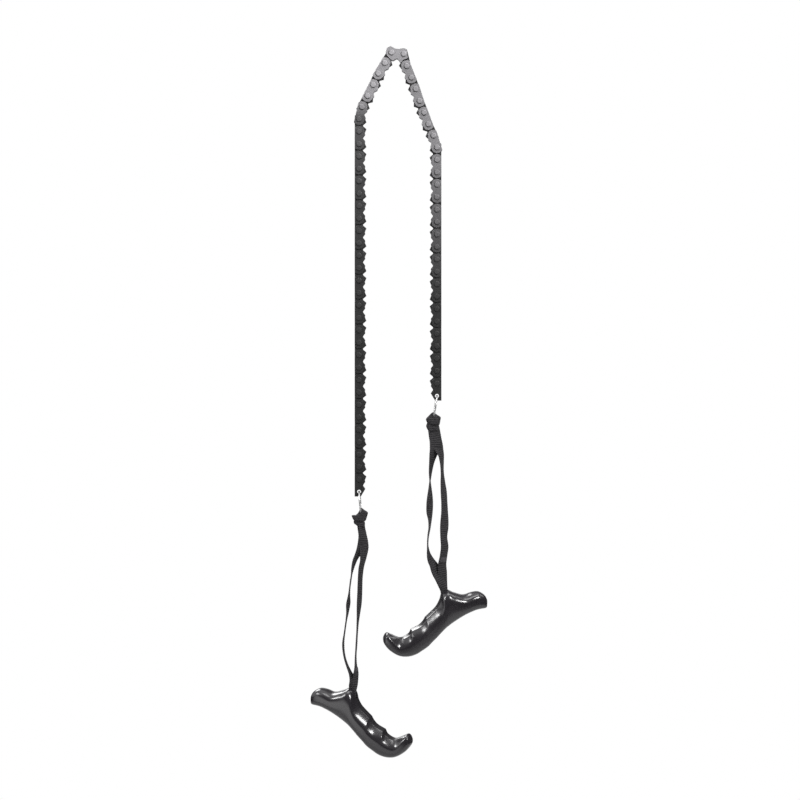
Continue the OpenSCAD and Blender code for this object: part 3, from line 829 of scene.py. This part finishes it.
def face_lid(shape, ring, index, foot, facing):
    """Closes a bundle's face with rings drawn in to its middle, crowned by a parabola and softly waved."""
    crown_high, wave_high = 0.7, 0.34
    middle = ring.mean(0)
    t = np.linspace(1, 0.02, 14)[:, None, None]
    xyz = middle + (ring - middle)[None] * t
    crown = crown_high * (1 - t[..., 0] ** 2)
    wave = np.sin((xyz[..., 0] - foot[0]) * 1.3 + (xyz[..., 2] - foot[1]) * 0.5)
    xyz[..., 1] += facing * (crown + wave_high * wave * (1 - t[..., 0]))
    uv = np.stack([xyz[..., 0] - foot[0], xyz[..., 2] - foot[1]], -1)
    inner = shape.grid(xyz[1:], uv[1:], wrap=True)
    shape.join(index, inner[0])
    shape.lid(inner[-1])


# Grips: edges of the right one seen from the front, from its upturned tip to its short end, from the inlet
GRIP_TOP = [
    (-53.4, -37.6), (-50.6, -34.6), (-46.4, -36.4), (-38.5, -39.6), (-31.5, -36.6), (-28.9, -32.4),
    (-22, -28.9), (-18.4, -25.4), (-16.3, -21.8), (-12, -17.8), (-6.8, -12.4), (-3.5, -5.9), (-2, 0),
    (2.2, 3.1), (9, 0.4), (17.6, -1.9), (25, 0.2), (31, 0.8), (36.2, -2), (38.6, -6)]
GRIP_BOTTOM = [
    (-54, -40.2), (-53.2, -44.2), (-48.6, -49.6), (-41, -54.2), (-33.3, -55.3), (-25.8, -53.6),
    (-19.6, -49.8), (-14.6, -46.2), (-11, -42.4), (-7, -38.4), (-3, -34), (1, -30.2), (5, -27.2),
    (9.4, -24.2), (14, -21.2), (20, -17.8), (27.5, -14.8), (32.6, -13.8), (36.6, -13.4), (38.4, -12.6)]
# Stations of the top edge: the crests between two finger rests, and the two ends of the fingers' stretch
CRESTS = (5, 8)
FINGERS = (1.4, 11.8)
GRIP_ENDS = 0.32


def spline(points, t, corners=()):
    """Catmull-Rom curve through points at t from 0 to the number of spans; at a corner its slope breaks."""
    p = np.asarray(points, float)
    last = len(p) - 1
    i = np.clip(t.astype(int), 0, last - 1)
    start_slope = (p[i + 1] - p[np.maximum(i - 1, 0)]) / 2
    end_slope = (p[np.minimum(i + 2, last)] - p[i]) / 2
    for c in corners:
        start_slope[i == c] = (p[i + 1] - p[i])[i == c]
        end_slope[i == c - 1] = (p[i + 1] - p[i])[i == c - 1]
    return hermite((t - i)[:, None], p[i], start_slope, p[i + 1], end_slope)


def grip_points():
    """Skin of a grip: at each step along it a rounded box between its top and bottom edges.

    The box is a superellipse: of GRIP_POWER below, and above of SADDLE_POWER at the short arm and of
    FINGER_POWER at the fingers. There its top slants down by FINGER_SLANT to a lip at each flat side. Its
    thickness rises from each end as a sine to GRIP_ENDS. The crests run across the top and end at the lips.
    """
    u = np.linspace(0, 1, 301)
    t = u * (len(GRIP_TOP) - 1)
    crested = spline(GRIP_TOP, t, CRESTS)
    plain = np.array(GRIP_TOP)
    for c in CRESTS:
        plain[c] = (plain[c - 1] + plain[c + 1]) / 2 + (-0.3, 0.3)
    smooth = spline(plain, t)
    bottom = spline(GRIP_BOTTOM, t)
    fingers = eased(np.minimum((t - FINGERS[0]) / 1.6, (FINGERS[1] - t) / 1.4))[:, None]
    angle = circle(128)
    above = SADDLE_POWER + (FINGER_POWER - SADDLE_POWER) * fingers
    power = np.where(np.cos(angle)[None, :] > 0, above, GRIP_POWER)
    rise = bulged(np.cos(angle), 2 / power)
    across = bulged(np.sin(angle), 2 / power)
    fade = eased((0.97 - np.abs(across)) / 0.2)[..., None]
    slant = np.clip((np.abs(across) - 0.4) / 0.55, 0, 1) * fingers * FINGER_SLANT
    down = (bottom - smooth) / np.linalg.norm(bottom - smooth, axis=1, keepdims=True)
    top = smooth[:, None] * (1 - fade) + crested[:, None] * fade + slant[..., None] * down[:, None]
    fill = np.minimum(1, np.sin(math.pi * np.clip(u, 0.004, 0.996)) ** GRIP_ENDS)
    xz = (top + bottom[:, None]) / 2 + rise[..., None] * (top - bottom[:, None]) / 2
    return np.stack([xz[..., 0], fill[:, None] * across * GRIP_THICK / 2, xz[..., 1]], -1)


def at_grip(side, xyz):
    """Moves points from a grip's own inlet to its place: mirrored on the left, tilted, then turned."""
    out = xyz.copy()
    if side == "left":
        out[..., 0] *= -1
    out = turned(turned(out, "x", GRIP_TILT[side]), "z", GRIP_TURN[side])
    foot = along_ring(side, 2 * RING_R)
    return out + np.array([foot[0] + INLET[side][0], 0, foot[1] + INLET[side][1]])


def cutter(side, name, xyz):
    """A closed tool of stacked rings, at a grip's place, that is only used to cut."""
    shape = Shape()
    shape.bar(at_grip(side, xyz))
    return shape.build(name, [GRIP_PLASTIC])


def stadium(half_wide, half_deep):
    """A slot's outline as X and Y: a superellipse with nearly square sides."""
    a, square = circle(40), 0.45
    return np.stack([half_wide * bulged(np.cos(a), square), half_deep * bulged(np.sin(a), square)], -1)


def disc(radius, count):
    """A circle's outline as X and Y."""
    a = circle(count)
    return np.stack([radius * np.cos(a), radius * np.sin(a)], -1)


def rings_of(outline, heights, grow=1.0):
    """An outline repeated at heights, each time scaled by its own factor."""
    return np.stack([np.concatenate([outline * g, np.full((len(outline), 1), float(z))], 1)
                     for z, g in zip(heights, np.broadcast_to(grow, len(heights)))])


def make_grip(side):
    """Moulded grip with the strap's passage and the stopper's seat cut out of it."""
    shape = Shape()
    shape.bar(at_grip(side, grip_points()))
    obj = shape.build(f"grip_{side}_look", [GRIP_PLASTIC], GRIP_SHARP)
    passage = stadium(NECK_WIDE / 2 + PASSAGE_GAP, NECK_THICK / 2 + PASSAGE_GAP)
    seat = disc(STOP_R + PASSAGE_GAP, 48)
    tools = [
        cutter(side, "cut_passage", rings_of(passage, (-2 * SEAT_DEEP, SEAT_DEEP))),
        cutter(side, "cut_seat", rings_of(seat, (-2 * SEAT_DEEP, -SEAT_DEEP + PASSAGE_GAP))),
    ]
    for tool in tools:
        cut = obj.modifiers.new(tool.name, "BOOLEAN")
        cut.operation = "DIFFERENCE"
        cut.object = tool
        cut.solver = "EXACT"
    depsgraph = bpy.context.evaluated_depsgraph_get()
    done = bpy.data.meshes.new_from_object(obj.evaluated_get(depsgraph))
    obj.modifiers.clear()
    obj.data = done
    done.shade_smooth()
    done.set_sharp_from_angle(angle=math.radians(GRIP_SHARP))
    for tool in tools:
        bpy.data.objects.remove(tool)
    stands_for(obj, f"grip_{side}", f"grip_{side}", "grip_plastic")


def make_stopper(side):
    """The webbing's end under the grip: a rolled pad whose rim swells by a sine, on a stem in the passage."""
    v = np.linspace(0, 1, 15)
    rim = 0.86 + 0.14 * np.sin(math.pi * v) ** 0.5
    pad = rings_of(disc(STOP_R, 64), -SEAT_DEEP - STOP_HIGH * v, rim)
    stem_play = 0.1
    stem = rings_of(stadium(NECK_WIDE / 2 - stem_play, NECK_THICK / 2 - stem_play),
                    np.linspace(-SEAT_DEEP - 0.2, -8, 40))
    shape = Shape()
    for xyz in (pad, stem):
        shape.bar(at_grip(side, xyz), xyz[..., ::2])
    obj = shape.build(f"stopper_{side}_look", [WEBBING], 50)
    stands_for(obj, f"grip_{side}", f"stopper_{side}", "webbing")


# Stage, light and camera

# One pixel of the photograph at the chain's plane, and the camera's distance from it
PIXEL = 0.887
CAMERA_AWAY = 1153.0
FRAME_SIDE = 800 * PIXEL
SENSOR = 36.0
VIEW_CENTRE = (2.2, -302.2)
# The floor is a disc that ends below the camera's frame
FLOOR_Z = -1250.0
FLOOR_R = 1850.0


def make_camera():
    """A camera square to the chain's plane, whose frame is the photograph's 800 by 800 at that plane."""
    data = bpy.data.cameras.new("camera")
    data.sensor_fit = "HORIZONTAL"
    data.sensor_width = SENSOR
    data.lens = SENSOR * CAMERA_AWAY / FRAME_SIDE
    data.clip_start = 0.01
    data.clip_end = 50.0
    camera = bpy.data.objects.new("camera", data)
    camera.location = (VIEW_CENTRE[0] * MM, -CAMERA_AWAY * MM, VIEW_CENTRE[1] * MM)
    camera.rotation_euler = (math.radians(90), 0, 0)
    bpy.context.scene.collection.objects.link(camera)
    bpy.context.scene.camera = camera


def area_light(name, place, target, size, power):
    """A soft rectangular light at a place, aimed at a target, in metres and watts, unseen by the camera."""
    data = bpy.data.lights.new(name, "AREA")
    data.shape = "RECTANGLE"
    data.size, data.size_y = size
    data.energy = power
    light = bpy.data.objects.new(name, data)
    light.location = place
    light.rotation_euler = (Vector(target) - Vector(place)).to_track_quat("-Z", "Y").to_euler()
    light.visible_camera = False
    bpy.context.scene.collection.objects.link(light)


def make_floor():
    """A pale matt disc well below the hanging saw, lifted towards white where the camera sees it."""
    material, tree, shader = surface_material("floor_paint", Roughness=0.9)
    shader.inputs["Base Color"].default_value = grey(0.8)
    shader.inputs["Emission Color"].default_value = grey(1.0)
    glow = times(tree, tree.nodes.new("ShaderNodeLightPath").outputs["Is Camera Ray"], 0.45)
    tree.links.new(glow, shader.inputs["Emission Strength"])
    bpy.ops.mesh.primitive_circle_add(vertices=96, radius=FLOOR_R * MM, fill_type="NGON",
                                      location=(0, 0, FLOOR_Z * MM))
    floor = bpy.context.object
    floor.name = "floor"
    floor.data.materials.append(material)


def make_world():
    """A room that lights the saw evenly, white where the camera sees it, and panels where metal mirrors it.

    What is mirrored is white straight behind, a white panel from overhead down to the left, a bright card low
    on the left in front, and a dim room elsewhere, a little lighter upwards.
    """
    world = bpy.data.worlds.new("studio")
    bpy.context.scene.world = world
    world.use_nodes = True
    tree = world.node_tree
    tree.nodes.clear()
    path = tree.nodes.new("ShaderNodeLightPath").outputs
    mirrors = math_node(tree, "MAXIMUM", path["Is Glossy Ray"], path["Is Transmission Ray"])
    seen = math_node(tree, "MAXIMUM", path["Is Camera Ray"], mirrors)
    way = coordinates(tree, "Generated")
    backdrop = ramp(tree, way["Y"], 0.93, 0.98)
    overhead = ramp(tree, plus(tree, way["Z"], times(tree, way["X"], -0.6)), 0.5, 0.8)
    beside = times(tree, ramp(tree, way["Y"], 0.8, 0.55), ramp(tree, way["Y"], -0.6, -0.3))
    low_left = ramp(tree, plus(tree, times(tree, way["X"], -0.6), times(tree, way["Z"], -0.8)), 0.2, 0.55)
    card = times(tree, low_left, ramp(tree, way["Y"], -0.2, -0.5))
    dim = mix_colour(tree, remap(tree, way["Z"], 0.2, 0.8, 0.04, 0.25, smooth=True), grey(0.0), grey(1.0))
    panels = math_node(tree, "MAXIMUM", times(tree, overhead, beside), backdrop)
    mirrored = mix_colour(tree, panels, mix_colour(tree, card, dim, grey(1.6)), grey(1.0))
    shown = mix_colour(tree, path["Is Camera Ray"], mirrored, grey(1.0))
    room = add(tree, "ShaderNodeBackground", {"Color": grey(1.0), "Strength": 0.27})
    white = add(tree, "ShaderNodeBackground", {"Color": shown, "Strength": 1.0})
    mixed = add(tree, "ShaderNodeMixShader", {0: seen, 1: room.outputs[0], 2: white.outputs[0]})
    out = tree.nodes.new("ShaderNodeOutputWorld")
    tree.links.new(mixed.outputs[0], out.inputs["Surface"])


def main():
    """Makes every piece, the stage, the lights and the camera."""
    bpy.context.scene.view_settings.view_transform = "Standard"
    make_camera()
    make_top_link()
    slots = {item["node"]: item["material_slot"] for item in frame["record"]["subparts"]}
    for side in SIDES:
        for k in range(1, SPACINGS[side] // 2 + 1):
            make_link(side, k, slots[f"link_{side}_{k:02d}"])
        make_ring(side)
        make_hitch(side)
        make_leg(side, "a", LEG_A[side], [f"leg_a_{side}", f"neck_{side}"])
        make_leg(side, "b", LEG_B[side], [f"leg_b_{side}"])
        make_patch(side)
        make_stopper(side)
        make_grip(side)
    make_floor()
    make_world()
    area_light("key", (0.9, -1.25, 0.7), (0, 0, -0.3), (0.5, 0.5), 25)
    area_light("rear", (-0.7, 1.4, 0.6), (0, 0, -0.3), (0.8, 0.8), 18)
    area_light("overhead", (0.1, -0.2, 0.8), (0, 0, -0.5), (1.0, 0.5), 6)
    area_light("left_panel", (-0.95, -0.4, 0.2), (0, 0, -0.56), (0.28, 0.28), 5)
    area_light("right_panel", (0.9, 0.3, 0.5), (0, 0, -0.65), (0.5, 0.5), 2)


main()
